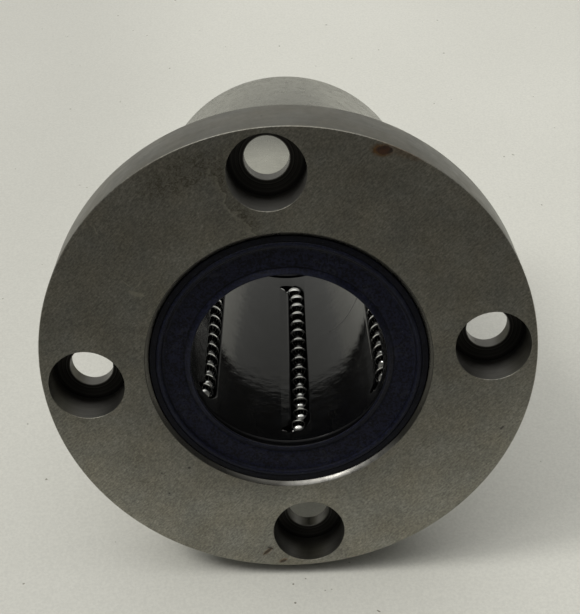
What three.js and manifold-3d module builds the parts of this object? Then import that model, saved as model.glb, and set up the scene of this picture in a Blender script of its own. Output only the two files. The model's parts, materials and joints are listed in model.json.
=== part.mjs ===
// Linear ball bushing with a round flange, for a 25 mm shaft.
//
// A hardened sleeve and its flange are one piece of steel. A moulded retainer inside it guides six
// closed circuits of balls. In each circuit one straight row carries the shaft, and the balls come
// back through a second row further out, by way of a half-round turn at each end. A side ring and a
// rubber seal with a steel core close each end.
//
// Millimetres. The bore runs along Y: the flange's mounting face is y = 0, its front face and the
// screw heads' pockets are on the -Y side, and the barrel reaches towards +Y. +Z is up.

import * as THREE from "three";
import { mergeVertices } from "three/addons/utils/BufferGeometryUtils.js";
import Module from "manifold-3d";

const wasm = await Module();
wasm.setup();

// ---------------------------------------------------------------- driving dimensions

const SHAFT_DIAMETER = 25;
const BARREL_DIAMETER = 40;
const LENGTH = 58;

const FLANGE_DIAMETER = 62;
const FLANGE_THICKNESS = 8;
const FLANGE_FRONT_CHAMFER = 0.5;
const FLANGE_BACK_CHAMFER = 0.3;

const SCREW_COUNT = 4;
const SCREW_CIRCLE = 51;
const SCREW_HOLE_DIAMETER = 5.5;
const SCREW_HEAD_DIAMETER = 9.5;
const SCREW_HEAD_DEPTH = 5.1;

const BARREL_CHAMFER = 0.7;
const UNDERCUT_DEPTH = 0.3; // into the barrel
const UNDERCUT_WIDTH = 1.4;
const UNDERCUT_SINK = 0.15; // into the flange's mounting face

// Balls: 7/64 inch, a little apart so that no two of them touch.
const BALL_DIAMETER = 2.778;
const BALL_PITCH = 2.96;
const CIRCUITS = 6;
const FIRST_CIRCUIT_ANGLE = THREE.MathUtils.degToRad(-88.9); // its loaded row, from +X towards +Z
const BALLS_PER_ROW = 13;
const BALLS_PER_TURN = 3;
const FIRST_TURN_DEPTH = 8.8; // the front turns' centres, from the front face
const RETURN_ROW_RADIUS = 15.7;
const CHANNEL_CLEARANCE = 0.11;
const NECK_RADIUS = 0.3;
const BAND_HALF_HEIGHT = 0.36; // a row ball's straight middle, as a share of its radius
const BAND_RADIUS = 0.985; // likewise

// Retainer.
const RETAINER_BORE_RADIUS = 13;
const RETAINER_OUTER_RADIUS = 15.15;
const RETAINER_CHAMFER = 0.2;

// End seats: seal, core and side ring stand in a recess at each end of the sleeve.
const SEAT_RADIUS = 17.5;
const SEAT_CHAMFER = 0.45;
const RELIEF_RADIUS = 17.2;
const RACEWAY_CLEARANCE = 0.08;
const RACEWAY_OVERRUN = 0.3; // past the turns' centres
const RACEWAY_LEAD = 0.7; // the slope from the raceway to the relief
const GROOVE_OVERRUN = 1.5; // of the return rows' grooves, past the turns' centres
const FRONT_SHOULDER_DEPTH = 3;
const REAR_SHOULDER_DEPTH = 4;
const SIDE_RING_THICKNESS = 0.65;
const SIDE_RING_BORE_RADIUS = 13.7;
const SEAL_THICKNESS = 1.85;
const SEAL_RIM_DROP = 0.05; // depths below the bead's crest
const SEAL_FACE_DROP = 0.4;
const SEAL_BEAD_OUTER_RADIUS = 16.6;
const SEAL_BEAD_CREST_RADIUS = 16.25;
const SEAL_BEAD_INNER_RADIUS = 15.9;
const SEAL_LIP_RADIUS = 12.3;
const SEAL_LIP_WIDTH = 0.8;
const SEAL_LIP_DROP = 0.1; // the lip leans outwards, nearly as far as the bead
const SEAL_LIP_HEIGHT = 1.2;
const SEAL_CORE_THICKNESS = 0.5;
const SEAL_CORE_INNER_RADIUS = 14.2;
const SEAL_CORE_OUTER_RADIUS = 16.9;
const FIT_GAP = 0.05; // between pieces that bear on each other
const SEAL_GAP = 0.15; // between the side ring and the seal
const SEAT_GAP = 0.1; // round the pieces in the end seats

const SLEEVE_SIDES = 48;
const RING_SIDES = 36;
const HOLE_SIDES = 24;
const CHANNEL_SIDES = 10;
const TURN_STEPS = 5;
const BALL_SIDES = 6;
const NECK_SIDES = 4;
const CUT_OVERRUN = 1; // of a cutter, past the face where it comes out

// ---------------------------------------------------------------- derived sizes

const FRONT_Y = -FLANGE_THICKNESS;
const REAR_Y = LENGTH - FLANGE_THICKNESS;
const BALL_RADIUS = BALL_DIAMETER / 2;
const LOADED_ROW_RADIUS = SHAFT_DIAMETER / 2 + BALL_RADIUS;
const RACEWAY_RADIUS = LOADED_ROW_RADIUS + BALL_RADIUS + RACEWAY_CLEARANCE;
const CHANNEL_RADIUS = BALL_RADIUS + CHANNEL_CLEARANCE;
const ROW_LENGTH = BALLS_PER_ROW * BALL_PITCH;
const TURN_RADIUS = (BALLS_PER_TURN * BALL_PITCH) / Math.PI;
const FRONT_TURN_Y = FRONT_Y + FIRST_TURN_DEPTH;
const REAR_TURN_Y = FRONT_TURN_Y + ROW_LENGTH;
const FRONT_SHOULDER_Y = FRONT_Y + FRONT_SHOULDER_DEPTH;
const REAR_SHOULDER_Y = REAR_Y - REAR_SHOULDER_DEPTH;

// The angle between a circuit's two rows, seen along the bore: their centres are one turn's
// diameter apart.
const ROW_TO_ROW_ANGLE = Math.acos(
  (LOADED_ROW_RADIUS ** 2 + RETURN_ROW_RADIUS ** 2 - (2 * TURN_RADIUS) ** 2) /
    (2 * LOADED_ROW_RADIUS * RETURN_ROW_RADIUS),
);

// ---------------------------------------------------------------- materials

const finish = (color, roughness, metalness) =>
  new THREE.MeshStandardMaterial({ color, roughness, metalness });

const groundSteel = finish(0x77756a, 0.4, 0.9);
const ringSteel = finish(0x8b8c8c, 0.45, 0.9);
const ballSteel = finish(0xc9cbcc, 0.12, 1);
const blackResin = finish(0x0c0d10, 0.18, 0);
const sealRubber = finish(0x12141d, 0.5, 0);

// ---------------------------------------------------------------- solids

/** Turns a closed three.js geometry into a solid for joining and cutting. */
function solid(geometry, matrix = new THREE.Matrix4()) {
  const bare = geometry.clone();
  bare.deleteAttribute("normal");
  bare.deleteAttribute("uv");
  const merged = mergeVertices(bare.applyMatrix4(matrix), 1e-4);
  const corners = Array.from(merged.index.array);
  const triangles = [];
  for (let i = 0; i < corners.length; i += 3) {
    const [a, b, c] = corners.slice(i, i + 3);
    if (a !== b && b !== c && c !== a) triangles.push(a, b, c);
  }
  const mesh = new wasm.Mesh({
    numProp: 3,
    vertProperties: new Float32Array(merged.attributes.position.array),
    triVerts: new Uint32Array(triangles),
  });
  return new wasm.Manifold(mesh);
}

/** Turns a solid back into a three.js geometry. */
function geometryOf(body) {
  const mesh = body.getMesh();
  const geometry = new THREE.BufferGeometry();
  geometry.setAttribute("position", new THREE.BufferAttribute(mesh.vertProperties, 3));
  geometry.setIndex(new THREE.BufferAttribute(mesh.triVerts, 1));
  return geometry;
}

/** A ring or a shaft: an outline of [radius, y] points turned about the bore's axis. */
function turned(outline, sides) {
  const points = outline.map(([radius, y]) => new THREE.Vector2(radius, y));
  if (THREE.ShapeUtils.area(points) < 0) points.reverse();
  if (outline[0][0] > 0) points.push(points[0].clone());
  return new THREE.LatheGeometry(points, sides);
}

/** The radius of a polygon's corners whose flats touch a circle of this radius. */
const around = (radius, sides) => radius / Math.cos(Math.PI / sides);

/** A straight round cutter along Y, its flats on the stated radius. */
function cutter(radius, sides, fromY, toY, x, z) {
  const corner = around(radius, sides);
  const geometry = new THREE.CylinderGeometry(corner, corner, toY - fromY, sides);
  return solid(geometry, new THREE.Matrix4().makeTranslation(x, (fromY + toY) / 2, z));
}

// ---------------------------------------------------------------- ball circuits

/**
 * Where one circuit lies. Its two rows are parallel to the bore, so the whole circuit is flat: across
 * points from the return row to the loaded row, and normal is the axis that both turns go round.
 */
function circuitPlane(index) {
  const loadedAngle = FIRST_CIRCUIT_ANGLE + (index * 2 * Math.PI) / CIRCUITS;
  const returnAngle = loadedAngle - ROW_TO_ROW_ANGLE;
  const at = (radius, angle) => new THREE.Vector3(radius * Math.cos(angle), 0, radius * Math.sin(angle));
  const loaded = at(LOADED_ROW_RADIUS, loadedAngle);
  const back = at(RETURN_ROW_RADIUS, returnAngle);
  const middle = loaded.clone().add(back).multiplyScalar(0.5);
  const across = loaded.clone().sub(back).normalize();
  const along = new THREE.Vector3(0, 1, 0);
  const normal = across.clone().cross(along);
  return { loaded, back, middle, across, along, normal };
}

/** The matrix that puts a shape drawn in (across, along, normal) at a height y on the circuit. */
function onCircuit(plane, y) {
  const matrix = new THREE.Matrix4().makeBasis(plane.across, plane.along, plane.normal);
  return matrix.setPosition(plane.middle.x, y, plane.middle.z);
}

/** The half circle that the balls follow in a turn, bulging towards side +1 (rear) or -1 (front). */
class TurnPath extends THREE.Curve {
  constructor(side) {
    super();
    this.side = side;
  }

  getPoint(t, target = new THREE.Vector3()) {
    const angle = Math.PI * t;
    return target.set(TURN_RADIUS * Math.cos(angle), this.side * TURN_RADIUS * Math.sin(angle), 0);
  }
}

/** The half-round end of the channel, at the rear (side +1) or the front (side -1). */
function turnChannel(plane, side) {
  const section = new THREE.Shape();
  for (let i = 0; i < CHANNEL_SIDES; i += 1) {
    const angle = (i * 2 * Math.PI) / CHANNEL_SIDES;
    const radius = around(CHANNEL_RADIUS, CHANNEL_SIDES);
    const point = [radius * Math.cos(angle), radius * Math.sin(angle)];
    if (i === 0) section.moveTo(...point);
    else section.lineTo(...point);
  }
  const tube = new THREE.ExtrudeGeometry(section, {
    steps: TURN_STEPS,
    extrudePath: new TurnPath(side),
  });
  return solid(tube, onCircuit(plane, side > 0 ? REAR_TURN_Y : FRONT_TURN_Y));
}

/** The closed track that one circuit's balls run in, cut out of the retainer. */
function channel(index) {
  const plane = circuitPlane(index);
  const rows = [plane.loaded, plane.back].map(({ x, z }) =>
    cutter(CHANNEL_RADIUS, CHANNEL_SIDES, FRONT_TURN_Y, REAR_TURN_Y, x, z),
  );
  return rows[0].add(rows[1]).add(turnChannel(plane, 1)).add(turnChannel(plane, -1));
}

/** A straight row: balls in a line along Y from fromY, held together by thin necks. */
function ballRow(count, fromY) {
  const bandY = BALL_RADIUS * BAND_HALF_HEIGHT;
  const bandRadius = BALL_RADIUS * BAND_RADIUS;
  const outline = [[0, fromY + BALL_PITCH / 2 - BALL_RADIUS]];
  for (let i = 0; i < count; i += 1) {
    const y = fromY + (i + 0.5) * BALL_PITCH;
    if (i > 0) outline.push([NECK_RADIUS, y - BALL_PITCH / 2]);
    outline.push([bandRadius, y - bandY], [bandRadius, y + bandY]);
  }
  outline.push([0, fromY + (count - 0.5) * BALL_PITCH + BALL_RADIUS]);
  return turned(outline, BALL_SIDES);
}

/** The balls of one turn, drawn about its centre: side +1 bulges to +Y, -1 to -Y. */
function ballTurn(side) {
  const step = Math.PI / BALLS_PER_TURN;
  const at = (i) => {
    const angle = side * (i + 0.5) * step;
    return new THREE.Vector3(Math.cos(angle), Math.sin(angle), 0).multiplyScalar(TURN_RADIUS);
  };
  const ball = new THREE.SphereGeometry(BALL_RADIUS, BALL_SIDES, BALL_SIDES - 2);
  let chain = solid(ball, new THREE.Matrix4().setPosition(at(0)));
  for (let i = 1; i < BALLS_PER_TURN; i += 1) {
    const neck = new THREE.CylinderGeometry(NECK_RADIUS, NECK_RADIUS, BALL_PITCH, NECK_SIDES);
    const towards = at(i).sub(at(i - 1)).normalize();
    const turn = new THREE.Quaternion().setFromUnitVectors(new THREE.Vector3(0, 1, 0), towards);
    const middle = at(i).add(at(i - 1)).multiplyScalar(0.5);
    const neckPlace = new THREE.Matrix4().makeRotationFromQuaternion(turn).setPosition(middle);
    chain = chain.add(solid(ball, new THREE.Matrix4().setPosition(at(i))));
    chain = chain.add(solid(neck, neckPlace));
  }
  return geometryOf(chain);
}

// ---------------------------------------------------------------- sleeve and retainer

/** The sleeve's section: flange, barrel, end seats, reliefs for the turns and the raceway between. */
function sleeveOutline() {
  const flange = FLANGE_DIAMETER / 2;
  const barrel = BARREL_DIAMETER / 2;
  const raceStart = FRONT_TURN_Y - RACEWAY_OVERRUN;
  const raceEnd = REAR_TURN_Y + RACEWAY_OVERRUN;
  return [
    [flange - FLANGE_FRONT_CHAMFER, FRONT_Y],
    [flange, FRONT_Y + FLANGE_FRONT_CHAMFER],
    [flange, -FLANGE_BACK_CHAMFER],
    [flange - FLANGE_BACK_CHAMFER, 0],
    [barrel + UNDERCUT_SINK, 0],
    [barrel - UNDERCUT_DEPTH, -UNDERCUT_SINK],
    [barrel - UNDERCUT_DEPTH, UNDERCUT_WIDTH],
    [barrel, UNDERCUT_WIDTH + UNDERCUT_DEPTH],
    [barrel, REAR_Y - BARREL_CHAMFER],
    [barrel - BARREL_CHAMFER, REAR_Y],
    [SEAT_RADIUS + SEAT_CHAMFER, REAR_Y],
    [SEAT_RADIUS, REAR_Y - SEAT_CHAMFER],
    [SEAT_RADIUS, REAR_SHOULDER_Y],
    [RELIEF_RADIUS, REAR_SHOULDER_Y],
    [RELIEF_RADIUS, raceEnd + RACEWAY_LEAD],
    [RACEWAY_RADIUS, raceEnd],
    [RACEWAY_RADIUS, raceStart],
    [RELIEF_RADIUS, raceStart - RACEWAY_LEAD],
    [RELIEF_RADIUS, FRONT_SHOULDER_Y],
    [SEAT_RADIUS, FRONT_SHOULDER_Y],
    [SEAT_RADIUS, FRONT_Y + SEAT_CHAMFER],
    [SEAT_RADIUS + SEAT_CHAMFER, FRONT_Y],
  ];
}

/** A counterbored screw hole through the flange. */
function screwHole(index) {
  const angle = (index * 2 * Math.PI) / SCREW_COUNT;
  const x = (SCREW_CIRCLE / 2) * Math.cos(angle);
  const z = (SCREW_CIRCLE / 2) * Math.sin(angle);
  const pocketFloor = FRONT_Y + SCREW_HEAD_DEPTH;
  const start = FRONT_Y - CUT_OVERRUN;
  const hole = cutter(SCREW_HOLE_DIAMETER / 2, HOLE_SIDES, start, CUT_OVERRUN, x, z);
  return hole.add(cutter(SCREW_HEAD_DIAMETER / 2, HOLE_SIDES, start, pocketFloor, x, z));
}

function flangedSleeve() {
  let body = solid(turned(sleeveOutline(), SLEEVE_SIDES));
  for (let i = 0; i < SCREW_COUNT; i += 1) {
    body = body.subtract(screwHole(i));
  }
  const grooveStart = FRONT_TURN_Y - GROOVE_OVERRUN;
  const grooveEnd = REAR_TURN_Y + GROOVE_OVERRUN;
  for (let i = 0; i < CIRCUITS; i += 1) {
    const { x, z } = circuitPlane(i).back;
    body = body.subtract(cutter(CHANNEL_RADIUS, CHANNEL_SIDES, grooveStart, grooveEnd, x, z));
  }
  return geometryOf(body);
}

function ballRetainer() {
  const bore = around(RETAINER_BORE_RADIUS, SLEEVE_SIDES);
  const front = FRONT_SHOULDER_Y + SEAT_GAP;
  const rear = REAR_SHOULDER_Y - SEAT_GAP;
  const outline = [
    [bore + RETAINER_CHAMFER, front],
    [RETAINER_OUTER_RADIUS, front],
    [RETAINER_OUTER_RADIUS, rear],
    [bore + RETAINER_CHAMFER, rear],
    [bore, rear - RETAINER_CHAMFER],
    [bore, front + RETAINER_CHAMFER],
  ];
  let body = solid(turned(outline, SLEEVE_SIDES));
  for (let i = 0; i < CIRCUITS; i += 1) {
    body = body.subtract(channel(i));
  }
  return geometryOf(body);
}

// ---------------------------------------------------------------- end pieces

// Each is drawn for the front end, from its shoulder's y towards -Y (outwards), and mirrored in
// depth for the rear end: outward is -1 at the front and +1 at the rear.

function sideRing(shoulderY, outward) {
  const inner = shoulderY + outward * FIT_GAP;
  const outer = inner + outward * SIDE_RING_THICKNESS;
  const rim = SEAT_RADIUS - SEAT_GAP;
  return turned(
    [
      [SIDE_RING_BORE_RADIUS, inner],
      [rim, inner],
      [rim, outer],
      [SIDE_RING_BORE_RADIUS, outer],
    ],
    RING_SIDES,
  );
}

/** The y of the seal's back: behind it is the side ring, which bears on the shoulder. */
function sealBackY(shoulderY, outward) {
  return shoulderY + outward * (SIDE_RING_THICKNESS + SEAL_GAP);
}

function sealCore(shoulderY, outward) {
  const inner = sealBackY(shoulderY, outward) + outward * FIT_GAP;
  const outer = inner + outward * SEAL_CORE_THICKNESS;
  return turned(
    [
      [SEAL_CORE_INNER_RADIUS, inner],
      [SEAL_CORE_OUTER_RADIUS, inner],
      [SEAL_CORE_OUTER_RADIUS, outer],
      [SEAL_CORE_INNER_RADIUS, outer],
    ],
    RING_SIDES,
  );
}

/** The rubber: a rim, a bead, a broad face and a lip that leans outwards, grooved behind for the core. */
function sealRubberRing(shoulderY, outward) {
  const lip = around(SEAL_LIP_RADIUS, RING_SIDES);
  const back = sealBackY(shoulderY, outward);
  const rim = SEAT_RADIUS - SEAT_GAP;
  const grooveInner = SEAL_CORE_INNER_RADIUS - FIT_GAP;
  const grooveOuter = SEAL_CORE_OUTER_RADIUS + FIT_GAP;
  const grooveY = back + outward * (SEAL_CORE_THICKNESS + 2 * FIT_GAP);
  const below = (drop) => back + outward * (SEAL_THICKNESS - drop);
  return turned(
    [
      [rim, back],
      [rim, below(SEAL_RIM_DROP)],
      [SEAL_BEAD_OUTER_RADIUS, below(SEAL_RIM_DROP)],
      [SEAL_BEAD_CREST_RADIUS, below(0)],
      [SEAL_BEAD_INNER_RADIUS, below(SEAL_FACE_DROP)],
      [lip + SEAL_LIP_WIDTH, below(SEAL_FACE_DROP)],
      [lip, below(SEAL_LIP_DROP)],
      [lip, below(2 * SEAL_LIP_DROP)],
      [lip + SEAL_LIP_WIDTH, below(SEAL_LIP_HEIGHT)],
      [lip + SEAL_LIP_WIDTH, back],
      [grooveInner, back],
      [grooveInner, grooveY],
      [grooveOuter, grooveY],
      [grooveOuter, back],
    ],
    RING_SIDES,
  );
}

// ---------------------------------------------------------------- assembly

const bushing = new THREE.Group();

function place(name, geometry, material, matrix) {
  const mesh = new THREE.Mesh(geometry, material);
  mesh.name = name;
  if (matrix) matrix.decompose(mesh.position, mesh.quaternion, mesh.scale);
  bushing.add(mesh);
}

place("flanged_sleeve", flangedSleeve(), groundSteel);
place("ball_retainer", ballRetainer(), blackResin);

for (const [end, shoulderY, outward] of [
  ["front", FRONT_SHOULDER_Y, -1],
  ["rear", REAR_SHOULDER_Y, 1],
]) {
  place(`${end}_side_ring`, sideRing(shoulderY, outward), ringSteel);
  place(`${end}_seal_core`, sealCore(shoulderY, outward), ringSteel);
  place(`${end}_seal`, sealRubberRing(shoulderY, outward), sealRubber);
}

for (let i = 0; i < CIRCUITS; i += 1) {
  const plane = circuitPlane(i);
  const row = ballRow(BALLS_PER_ROW, FRONT_TURN_Y);
  const beside = ({ x, z }) => new THREE.Matrix4().makeTranslation(x, 0, z);
  place(`loaded_balls_${i + 1}`, row, ballSteel, beside(plane.loaded));
  place(`return_balls_${i + 1}`, row, ballSteel, beside(plane.back));
  place(`front_turn_balls_${i + 1}`, ballTurn(-1), ballSteel, onCircuit(plane, FRONT_TURN_Y));
  place(`rear_turn_balls_${i + 1}`, ballTurn(1), ballSteel, onCircuit(plane, REAR_TURN_Y));
}

export default bushing;
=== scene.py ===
import json
import math
from types import SimpleNamespace

import bmesh
import bpy
from mathutils import Matrix, Vector


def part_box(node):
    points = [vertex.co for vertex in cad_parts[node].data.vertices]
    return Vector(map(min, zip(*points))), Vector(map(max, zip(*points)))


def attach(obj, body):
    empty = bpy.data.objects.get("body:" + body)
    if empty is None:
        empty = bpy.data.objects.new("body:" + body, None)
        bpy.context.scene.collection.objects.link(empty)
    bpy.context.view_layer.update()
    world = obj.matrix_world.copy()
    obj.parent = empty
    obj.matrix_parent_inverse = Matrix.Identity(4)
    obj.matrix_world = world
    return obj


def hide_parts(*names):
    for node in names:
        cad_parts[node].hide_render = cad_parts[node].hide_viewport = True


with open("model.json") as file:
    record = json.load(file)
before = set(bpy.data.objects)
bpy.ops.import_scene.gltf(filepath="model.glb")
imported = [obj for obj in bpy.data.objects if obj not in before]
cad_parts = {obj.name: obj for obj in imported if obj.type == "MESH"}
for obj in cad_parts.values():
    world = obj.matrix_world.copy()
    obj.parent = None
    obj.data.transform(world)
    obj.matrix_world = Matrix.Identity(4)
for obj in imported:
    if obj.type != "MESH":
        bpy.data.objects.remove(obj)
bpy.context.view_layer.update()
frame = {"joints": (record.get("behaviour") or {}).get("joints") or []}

MM = 0.001

# ---------------------------------------------------------------- sizes read from the frame

joints = {j["name"]: j for j in frame["joints"]}
CIRCUITS = sum(1 for name in joints if name.endswith("_load"))

sleeve_low, sleeve_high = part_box("flanged_sleeve")
FRONT_Y, REAR_Y = sleeve_low.y, sleeve_high.y
FLANGE_RADIUS = sleeve_high.x
FRONT_TURN_Y = joints["circuit_1_front_turn"]["pos_m"][1]
REAR_TURN_Y = joints["circuit_1_rear_turn"]["pos_m"][1]

row_low, row_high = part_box("loaded_balls_1")
row_middle = (row_low + row_high) / 2
LOADED_ROW_RADIUS = math.hypot(row_middle.x, row_middle.z)

retainer_low, retainer_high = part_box("ball_retainer")
RETAINER_OUTER_RADIUS = retainer_high.x

# ---------------------------------------------------------------- sizes of the real thing, mm

BARREL_RADIUS = 20 * MM
BALL_RADIUS = 1.389 * MM
BALLS_PER_ROW = 13
BALLS_PER_TURN = 3
CHANNEL_RADIUS = 1.499 * MM

SCREW_CIRCLE_RADIUS = 25.5 * MM
SCREW_HOLE_RADIUS = 2.75 * MM
SCREW_HEAD_RADIUS = 4.75 * MM
SCREW_HEAD_DEPTH = 5.1 * MM
SCREW_HOLE_BACK_CHAMFER = 0.9 * MM
SCREWS = 4

SEAT_RADIUS = 17.5 * MM
SEAT_CHAMFER = 0.45 * MM
FRONT_SEAT_DEPTH = 3 * MM
REAR_SEAT_DEPTH = 4 * MM
RELIEF_RADIUS = 17.2 * MM
RACEWAY_CLEARANCE = 0.08 * MM
RACEWAY_RADIUS = LOADED_ROW_RADIUS + BALL_RADIUS + RACEWAY_CLEARANCE
RETAINER_BORE_RADIUS = 13 * MM
SIDE_RING_BORE_RADIUS = 13.7 * MM
SEAL_CORE_BORE_RADIUS = 14.2 * MM

TURNED_SIDES = 240
SCREW_HOLE_SIDES = 96
TUBE_SIDES = 32

ROW_LENGTH = REAR_TURN_Y - FRONT_TURN_Y
BALL_PITCH = ROW_LENGTH / BALLS_PER_ROW
TURN_RADIUS = BALLS_PER_TURN * BALL_PITCH / math.pi


# ---------------------------------------------------------------- camera, light and floor

# The photograph's viewpoint, fitted to the outlines of the flange, its holes, the seal and the barrel.
CAMERA_POINT = Vector((6.525, -147.306, 76.834)) * MM
CAMERA_RIGHT = Vector((0.99506, -0.02482, -0.09607))
CAMERA_FORWARD = Vector((-0.02499, 0.87431, -0.48472))
CAMERA_LENS, CAMERA_SENSOR = 74.95, 36
CAMERA_SHIFT = (-0.0326, 0.0977)


def make_camera():
    """The photograph's viewpoint: in front of the flange and above it, a little rolled."""
    data = bpy.data.cameras.new("camera")
    data.lens = CAMERA_LENS
    data.sensor_width = CAMERA_SENSOR
    data.shift_x, data.shift_y = CAMERA_SHIFT
    data.clip_start = 0.01
    data.clip_end = 10
    camera = bpy.data.objects.new("camera", data)
    bpy.context.scene.collection.objects.link(camera)
    forward = CAMERA_FORWARD.normalized()
    up = CAMERA_RIGHT.cross(forward).normalized()
    right = forward.cross(up)
    turn = Matrix((right, up, -forward)).transposed()
    camera.matrix_world = Matrix.Translation(CAMERA_POINT) @ turn.to_4x4()
    bpy.context.scene.camera = camera


make_camera()

# The bushing lies on the flange's rim and the barrel's far end, rolled a little about its bore.
FLOOR_TILT = math.atan((FLANGE_RADIUS - BARREL_RADIUS) / REAR_Y)
FLOOR_ROLL = math.radians(5.5)
floor_up = Vector(
    (
        math.sin(FLOOR_ROLL) * math.cos(FLOOR_TILT),
        -math.sin(FLOOR_TILT),
        math.cos(FLOOR_ROLL) * math.cos(FLOOR_TILT),
    )
)
floor_point = Vector((-math.sin(FLOOR_ROLL), 0, -math.cos(FLOOR_ROLL))) * FLANGE_RADIUS


def on_floor(x, y, height):
    """A point over the floor: x to the right, y away from the camera, from where the flange rests."""
    across = Vector((0, 1, 0)).cross(floor_up).normalized()
    away = floor_up.cross(across)
    return floor_point + across * x + away * y + floor_up * height


class Nodes:
    """Makes a material's or a world's node tree with few words."""

    def __init__(self, tree):
        self.tree = tree
        tree.nodes.clear()

    def add(self, kind, **values):
        """A node of a type, with its properties and, by socket name, its values or incoming links."""
        node = self.tree.nodes.new(kind)
        for name, value in values.items():
            if hasattr(node, name):
                setattr(node, name, value)
            else:
                self.feed(node, name, value)
        return node

    def feed(self, node, name, value):
        """Sets or links one input, by its name, or by its number as in _0."""
        socket = node.inputs[int(name[1:])] if name[0] == "_" else node.inputs[name.replace("_", " ")]
        if isinstance(value, bpy.types.NodeSocket):
            self.tree.links.new(value, socket)
        else:
            socket.default_value = value

    def math(self, operation, *values, clamp=False):
        node = self.tree.nodes.new("ShaderNodeMath")
        node.operation = operation
        node.use_clamp = clamp
        for i, value in enumerate(values):
            self.feed(node, f"_{i}", value)
        return node.outputs[0]

    def ramp(self, value, *stops, smooth=False):
        """Colour stops as (position, colour or grey)."""
        node = self.tree.nodes.new("ShaderNodeValToRGB")
        node.color_ramp.interpolation = "EASE" if smooth else "LINEAR"
        elements = node.color_ramp.elements
        while len(elements) < len(stops):
            elements.new(0.5)
        for element, (position, colour) in zip(elements, sorted(stops, key=lambda s: s[0])):
            grey = isinstance(colour, (int, float))
            element.position = position
            element.color = (colour,) * 3 + (1,) if grey else tuple(colour) + (1,)
        self.tree.links.new(value, node.inputs[0])
        return node.outputs[0]

    def mix(self, share, a, b, blend="MIX"):
        """Colour a, with this share of b laid over it."""
        node = self.tree.nodes.new("ShaderNodeMix")
        node.data_type = "RGBA"
        node.blend_type = blend
        for index, value in ((0, share), (6, a), (7, b)):
            if isinstance(value, bpy.types.NodeSocket):
                self.tree.links.new(value, node.inputs[index])
            elif index == 0:
                node.inputs[index].default_value = value
            else:
                node.inputs[index].default_value = tuple(value) + (1,)
        return node.outputs[2]

    def grey(self, value):
        """A number as a colour."""
        return self.add("ShaderNodeCombineXYZ", X=value, Y=value, Z=value).outputs[0]

    def noise(self, where, scale, detail=4, roughness=0.5, distortion=0.0):
        return self.add(
            "ShaderNodeTexNoise",
            Vector=where,
            Scale=scale,
            Detail=detail,
            Roughness=roughness,
            Distortion=distortion,
        ).outputs["Fac"]

    def place(self, where, scale=(1, 1, 1), rotation=(0, 0, 0), location=(0, 0, 0)):
        return self.add(
            "ShaderNodeMapping", Vector=where, Scale=scale, Rotation=rotation, Location=location
        ).outputs[0]


def make_floor():
    """A pale table: clouded paper with a fine grain and a few dark dots, and painted shade that makes it
    a little dimmer to the left.
    """
    mesh = bpy.data.meshes.new("floor")
    half_size = 1.2
    corners = [(half_size * x, half_size * y) for x, y in ((-1, -1), (1, -1), (1, 1), (-1, 1))]
    mesh.from_pydata([on_floor(x, y, 0) for x, y in corners], [], [(0, 1, 2, 3)])
    floor = bpy.data.objects.new("floor", mesh)
    bpy.context.scene.collection.objects.link(floor)
    material = bpy.data.materials.new("pale_table")
    material.use_nodes = True
    n = Nodes(material.node_tree)
    where = n.add("ShaderNodeTexCoord").outputs["Object"]
    cloud = n.ramp(n.noise(where, 9, 3), (0.3, (0.60, 0.598, 0.555)), (0.7, (0.66, 0.658, 0.615)))
    dots = n.ramp(n.noise(where, 900, 1), (0.18, 0.0), (0.21, 1.0))
    paper = n.ramp(n.noise(where, 2300, 2, 0.7), (0.35, 0.95), (0.65, 1.05))
    across = n.add("ShaderNodeSeparateXYZ", Vector=where).outputs["X"]
    # painted shade: the floor's colour is dimmed towards its left side
    painted_shade_left_side = n.ramp(n.math("MULTIPLY_ADD", across, 10.0, 0.5), (0.0, 0.86), (0.42, 1.0), smooth=True)
    surface = n.mix(1.0, n.mix(1.0, cloud, paper, "MULTIPLY"), painted_shade_left_side, "MULTIPLY")
    colour = n.mix(dots, (0.22, 0.21, 0.17), surface)
    shader = n.add("ShaderNodeBsdfPrincipled", Base_Color=colour, Roughness=0.55)
    n.add("ShaderNodeOutputMaterial", Surface=shader.outputs[0])
    mesh.materials.append(material)


make_floor()


def make_world():
    """A room that lights the object from behind and overhead, and that shows as a plain pale wall.
    Its walls are dim in front of the object, and a little dimmer on the right."""
    world = bpy.data.worlds.new("studio")
    bpy.context.scene.world = world
    world.use_nodes = True
    n = Nodes(world.node_tree)
    direction = n.add("ShaderNodeTexCoord").outputs["Generated"]
    parts = n.add("ShaderNodeSeparateXYZ", Vector=direction).outputs
    depth = n.math("MULTIPLY_ADD", parts["Y"], 0.5, 0.5)
    walls = n.ramp(depth, (0.25, (0.10, 0.10, 0.095)), (0.72, (0.44, 0.438, 0.41)), smooth=True)
    sideways = n.math("MULTIPLY_ADD", parts["X"], 0.5, 0.5)
    right_side = n.ramp(sideways, (0.485, 1.04), (0.495, 0.94), (0.62, 0.90))
    walls = n.mix(1.0, walls, right_side, "MULTIPLY")
    ceiling = n.ramp(parts["Z"], (0.55, 0.0), (0.95, 1.0), smooth=True)
    lighting = n.mix(ceiling, walls, (1.40, 1.39, 1.34))
    backdrop = n.add("ShaderNodeLightPath").outputs["Is Camera Ray"]
    colour = n.mix(backdrop, lighting, (0.60, 0.59, 0.53))
    back = n.add("ShaderNodeBackground", Color=colour, Strength=1.0)
    n.add("ShaderNodeOutputWorld", Surface=back.outputs[0])
    bpy.context.scene.view_settings.view_transform = "Standard"


make_world()


def soft_light(name, direction, distance, size, power, mirrored):
    """A square soft light in this direction from the object, facing it; mirrored if gloss shows it."""
    data = bpy.data.lights.new(name, "AREA")
    data.size = size
    data.energy = power
    data.color = (1, 0.985, 0.93)
    lamp = bpy.data.objects.new(name, data)
    bpy.context.scene.collection.objects.link(lamp)
    lamp.location = Vector(direction).normalized() * distance
    lamp.rotation_euler = (-lamp.location).to_track_quat("-Z", "Y").to_euler()
    lamp.visible_glossy = mirrored


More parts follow.
